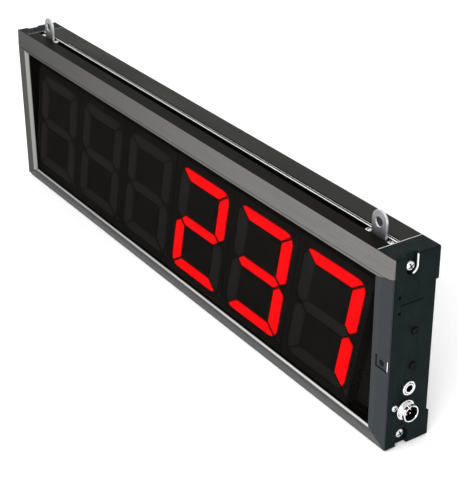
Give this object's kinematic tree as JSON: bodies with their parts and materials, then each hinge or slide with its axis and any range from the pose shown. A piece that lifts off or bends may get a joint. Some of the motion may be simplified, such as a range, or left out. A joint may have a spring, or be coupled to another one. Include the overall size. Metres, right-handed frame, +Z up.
{
  "type": "gym round timer",
  "caption": "Long slim wall or ceiling hung seven-segment digit display for timing training rounds, with a grey bezel, smoked front, sliding hanger lugs and end connectors.",
  "frame": {"origin": "on the underside of the housing, midway along its length and its depth", "axes": "+X along the housing towards the connector end, +Y towards the back, so the display looks along -Y, +Z up"},
  "size_m": [0.598, 0.042, 0.1793],
  "materials": {
    "rail": "satin grey coat on an aluminium extrusion",
    "bezel": "satin grey coat",
    "cap": "moulded, fine matt grain",
    "panel": "matt black coat",
    "filter": "smoked acrylic sheet",
    "housing": "matt black",
    "guide": "diffusing resin, red when lit",
    "board": "solder resist on glass fibre",
    "chip": "moulded",
    "steel": "bright zinc plate",
    "chrome": "polished",
    "black": "moulded",
    "brass": "plated",
    "lead": "insulated wire"
  },
  "bodies": {
    "housing": {"top_rail": "rail", "bottom_rail": "rail", "bezel_left": "bezel", "bezel_right": "bezel", "infrared_window": "black", "infrared_receiver": "chip", "front_filter": "filter", "back_panel": "panel", "end_cap_left": "cap", "end_cap_right": "cap", "end_screw_left_bottom": "steel", "end_screw_left_top": "steel", "end_screw_right_bottom": "steel", "end_screw_right_top": "steel", "board_screw": "steel", "main_board": "board", "controller_chip": "chip", "driver_chip_left": "chip", "driver_chip_right": "chip", "buzzer": "black", "battery_holder": "black", "coin_cell": "steel", "side_board": "board", "upper_switch": "chip", "lower_switch": "chip", "power_jack_body": "black", "power_jack_nut": "chrome", "power_jack_pin": "steel", "sensor_socket_shell": "chrome", "sensor_socket_nut": "chrome", "sensor_socket_insulator": "black", "power_lead": "lead", "signal_lead": "lead", "digit_1_housing": "housing", "digit_1_light_guide": "guide", "digit_2_housing": "housing", "digit_2_light_guide": "guide", "digit_3_housing": "housing", "digit_3_light_guide": "guide", "digit_4_housing": "housing", "digit_4_light_guide": "guide", "digit_5_housing": "housing", "digit_5_light_guide": "guide", "digit_6_housing": "housing", "digit_6_light_guide": "guide", "sensor_socket_pin_1": "brass", "sensor_socket_pin_2": "brass", "sensor_socket_pin_3": "brass", "sensor_socket_pin_4": "brass"},
    "left_hanger": {"hanger_left": "steel", "clamp_screw_left_outer": "steel", "clamp_screw_left_inner": "steel"},
    "right_hanger": {"hanger_right": "steel", "clamp_screw_right_outer": "steel", "clamp_screw_right_inner": "steel"},
    "upper_push_button": {"upper_button": "black"},
    "lower_push_button": {"lower_button": "black"}
  },
  "joints": [
    {"name": "hanger_left_slide", "type": "slide", "parent": "housing", "child": "left_hanger", "axis": [1, 0, 0], "range_m": [0, 0.23]},
    {"name": "hanger_right_slide", "type": "slide", "parent": "housing", "child": "right_hanger", "axis": [-1, 0, 0], "range_m": [0, 0.23]},
    {"name": "upper_button_press", "type": "slide", "parent": "housing", "child": "upper_push_button", "axis": [-1, 0, 0], "range_m": [0, 0.001], "stiffness_N_per_m": 1500, "springref_m": -0.0008},
    {"name": "lower_button_press", "type": "slide", "parent": "housing", "child": "lower_push_button", "axis": [-1, 0, 0], "range_m": [0, 0.001], "stiffness_N_per_m": 1500, "springref_m": -0.0008}
  ]
}
